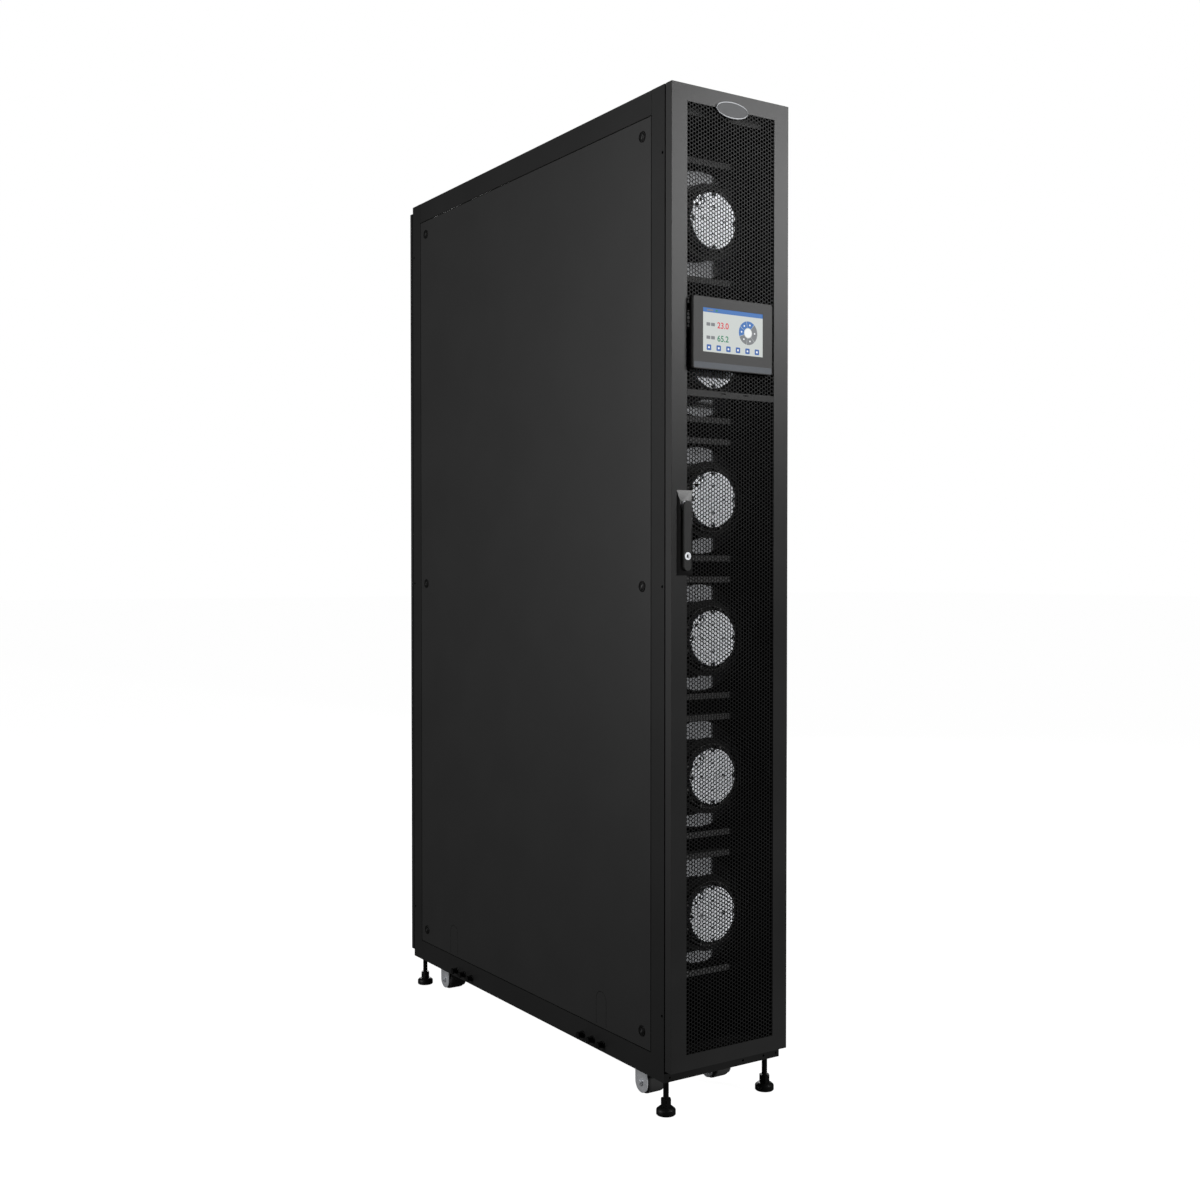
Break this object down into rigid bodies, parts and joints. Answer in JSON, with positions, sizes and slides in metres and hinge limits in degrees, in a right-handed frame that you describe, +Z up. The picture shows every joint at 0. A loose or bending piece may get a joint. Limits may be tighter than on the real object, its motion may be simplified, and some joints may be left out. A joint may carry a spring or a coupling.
{
  "type": "in-row cooling unit",
  "caption": "Tall narrow in-row cooling unit on feet and casters, with perforated hinged doors, a column of radial fans, a chilled-water coil, filters and a front display.",
  "frame": {"origin": "on the floor under the middle of the unit's whole width and depth, display and rear handle included", "axes": "+Z up, front door facing -Y, +X to the right seen from the front"},
  "size_m": [0.33, 1.216, 2.0734],
  "materials": {
    "frame_paint": "fine-textured powder coat",
    "panel_paint": "fine-textured powder coat",
    "inner_paint": "satin powder coat",
    "door_paint": "fine-textured powder coat",
    "mesh_paint": "satin powder coat",
    "fastener_black": "black oxide",
    "zinc": "zinc plated",
    "wheel_rubber": "matt",
    "badge_metal": "satin with a bright rim",
    "bezel_paint": "fine matt texture",
    "housing_black": "matt",
    "screen": "lit display behind clear glass",
    "handle_black": "satin black",
    "lock_chrome": "polished",
    "fan_metal": "satin",
    "motor_alloy": "smooth cast",
    "galvanised": "galvanised",
    "fin_aluminium": "thin bright fins",
    "copper": "drawn copper, slightly dulled",
    "valve_brass": "cast brass with a grey actuator",
    "pump_plastic": "moulded",
    "filter_medium": "pleated medium in a steel frame",
    "box_grey": "light grey powder coat",
    "switch_red": "glossy"
  },
  "bodies": {
    "cabinet": {"front_frame": "frame_paint", "rear_frame": "frame_paint", "base_rails": "frame_paint", "top_rails": "frame_paint", "mid_posts": "inner_paint", "floor_panel": "inner_paint", "roof_panel": "panel_paint", "side_panel_left": "panel_paint", "side_panel_right": "panel_paint", "panel_fasteners": "fastener_black", "rail_bolts": "fastener_black", "foot_lock_nuts": "zinc", "caster_forks": "zinc", "caster_axles": "zinc", "front_hinges": "fastener_black", "rear_hinges": "fastener_black", "fan_motors": "motor_alloy", "fan_brackets": "inner_paint", "fan_bulkhead": "galvanised", "inlet_nozzles": "galvanised", "coil_fins": "fin_aluminium", "coil_circuit": "copper", "water_pipes": "copper", "control_valve": "valve_brass", "drip_tray": "galvanised", "condensate_pump": "pump_plastic", "air_filters": "filter_medium", "electrical_box": "box_grey"},
    "front_door": {"front_door_frame": "door_paint", "front_door_mesh": "mesh_paint", "door_crossbar": "door_paint", "badge_plate": "badge_metal", "display_bezel": "bezel_paint", "display_screen": "screen", "display_housing": "housing_black", "front_handle_housing": "handle_black"},
    "front_handle_shaft": {"front_handle_shaft": "zinc"},
    "front_handle_lever": {"front_handle_lever": "handle_black"},
    "front_key": {"front_key_cylinder": "lock_chrome"},
    "rear_door": {"rear_door_frame": "door_paint", "rear_door_mesh": "mesh_paint", "rear_handle_housing": "handle_black"},
    "rear_handle_shaft": {"rear_handle_shaft": "zinc"},
    "rear_handle_lever": {"rear_handle_lever": "handle_black"},
    "rear_key": {"rear_key_cylinder": "lock_chrome"},
    "main_switch": {"main_switch_knob": "switch_red"},
    "foot_front_left": {"foot_front_left": "fastener_black"},
    "foot_front_right": {"foot_front_right": "fastener_black"},
    "foot_rear_left": {"foot_rear_left": "fastener_black"},
    "foot_rear_right": {"foot_rear_right": "fastener_black"},
    "caster_wheel_front_left": {"caster_wheel_front_left": "wheel_rubber"},
    "caster_wheel_front_right": {"caster_wheel_front_right": "wheel_rubber"},
    "caster_wheel_rear_left": {"caster_wheel_rear_left": "wheel_rubber"},
    "caster_wheel_rear_right": {"caster_wheel_rear_right": "wheel_rubber"},
    "fan_1": {"fan_rotor_1": "fan_metal"},
    "fan_2": {"fan_rotor_2": "fan_metal"},
    "fan_3": {"fan_rotor_3": "fan_metal"},
    "fan_4": {"fan_rotor_4": "fan_metal"},
    "fan_5": {"fan_rotor_5": "fan_metal"},
    "fan_6": {"fan_rotor_6": "fan_metal"}
  },
  "joints": [
    {"name": "front_door_swing", "type": "hinge", "parent": "cabinet", "child": "front_door", "pos_m": [0.1415, -0.5855, 1.0734], "axis": [0, 0, 1], "range_deg": [0, 110]},
    {"name": "front_handle_turn", "type": "hinge", "parent": "front_door", "child": "front_handle_shaft", "pos_m": [-0.118, -0.5955, 1.2335], "axis": [0, 1, 0], "range_deg": [-90, 0]},
    {"name": "front_lever_lift", "type": "hinge", "parent": "front_handle_shaft", "child": "front_handle_lever", "pos_m": [-0.118, -0.604, 1.2335], "axis": [-1, 0, 0], "range_deg": [0, 25]},
    {"name": "front_key_turn", "type": "hinge", "parent": "front_handle_lever", "child": "front_key", "pos_m": [-0.118, -0.6071, 1.1345], "axis": [0, 1, 0], "range_deg": [0, 90]},
    {"name": "rear_door_swing", "type": "hinge", "parent": "cabinet", "child": "rear_door", "pos_m": [0.1435, 0.59, 1.0734], "axis": [0, 0, -1], "range_deg": [0, 100]},
    {"name": "rear_handle_turn", "type": "hinge", "parent": "rear_door", "child": "rear_handle_shaft", "pos_m": [-0.118, 0.596, 1.2335], "axis": [0, -1, 0], "range_deg": [0, 90]},
    {"name": "rear_lever_lift", "type": "hinge", "parent": "rear_handle_shaft", "child": "rear_handle_lever", "pos_m": [-0.118, 0.6045, 1.2335], "axis": [1, 0, 0], "range_deg": [0, 25]},
    {"name": "rear_key_turn", "type": "hinge", "parent": "rear_handle_lever", "child": "rear_key", "pos_m": [-0.118, 0.6076, 1.1345], "axis": [0, -1, 0], "range_deg": [0, 90]},
    {"name": "fan_1_spin", "type": "hinge", "parent": "cabinet", "child": "fan_1", "pos_m": [0, -0.4615, 0.3889], "axis": [0, 1, 0], "continuous": true},
    {"name": "fan_2_spin", "type": "hinge", "parent": "cabinet", "child": "fan_2", "pos_m": [0, -0.4615, 0.6771], "axis": [0, 1, 0], "continuous": true},
    {"name": "fan_3_spin", "type": "hinge", "parent": "cabinet", "child": "fan_3", "pos_m": [0, -0.4615, 0.9653], "axis": [0, 1, 0], "continuous": true},
    {"name": "fan_4_spin", "type": "hinge", "parent": "cabinet", "child": "fan_4", "pos_m": [0, -0.4615, 1.2535], "axis": [0, 1, 0], "continuous": true},
    {"name": "fan_5_spin", "type": "hinge", "parent": "cabinet", "child": "fan_5", "pos_m": [0, -0.4615, 1.5417], "axis": [0, 1, 0], "continuous": true},
    {"name": "fan_6_spin", "type": "hinge", "parent": "cabinet", "child": "fan_6", "pos_m": [0, -0.4615, 1.8299], "axis": [0, 1, 0], "continuous": true},
    {"name": "caster_front_left_roll", "type": "hinge", "parent": "cabinet", "child": "caster_wheel_front_left", "pos_m": [-0.086, -0.4355, 0.028], "axis": [1, 0, 0], "continuous": true},
    {"name": "caster_front_right_roll", "type": "hinge", "parent": "cabinet", "child": "caster_wheel_front_right", "pos_m": [0.086, -0.4355, 0.028], "axis": [1, 0, 0], "continuous": true},
    {"name": "caster_rear_left_roll", "type": "hinge", "parent": "cabinet", "child": "caster_wheel_rear_left", "pos_m": [-0.086, 0.4765, 0.028], "axis": [1, 0, 0], "continuous": true},
    {"name": "caster_rear_right_roll", "type": "hinge", "parent": "cabinet", "child": "caster_wheel_rear_right", "pos_m": [0.086, 0.4765, 0.028], "axis": [1, 0, 0], "continuous": true},
    {"name": "foot_front_left_screw", "type": "hinge", "parent": "cabinet", "child": "foot_front_left", "pos_m": [-0.129, -0.5492, 0.04], "axis": [0, 0, 1], "continuous": true},
    {"name": "foot_front_right_screw", "type": "hinge", "parent": "cabinet", "child": "foot_front_right", "pos_m": [0.129, -0.5492, 0.04], "axis": [0, 0, 1], "continuous": true},
    {"name": "foot_rear_left_screw", "type": "hinge", "parent": "cabinet", "child": "foot_rear_left", "pos_m": [-0.129, 0.5582, 0.04], "axis": [0, 0, 1], "continuous": true},
    {"name": "foot_rear_right_screw", "type": "hinge", "parent": "cabinet", "child": "foot_rear_right", "pos_m": [0.129, 0.5582, 0.04], "axis": [0, 0, 1], "continuous": true},
    {"name": "main_switch_turn", "type": "hinge", "parent": "cabinet", "child": "main_switch", "pos_m": [0.05, 0.525, 1.8214], "axis": [0, -1, 0], "range_deg": [0, 90]}
  ]
}
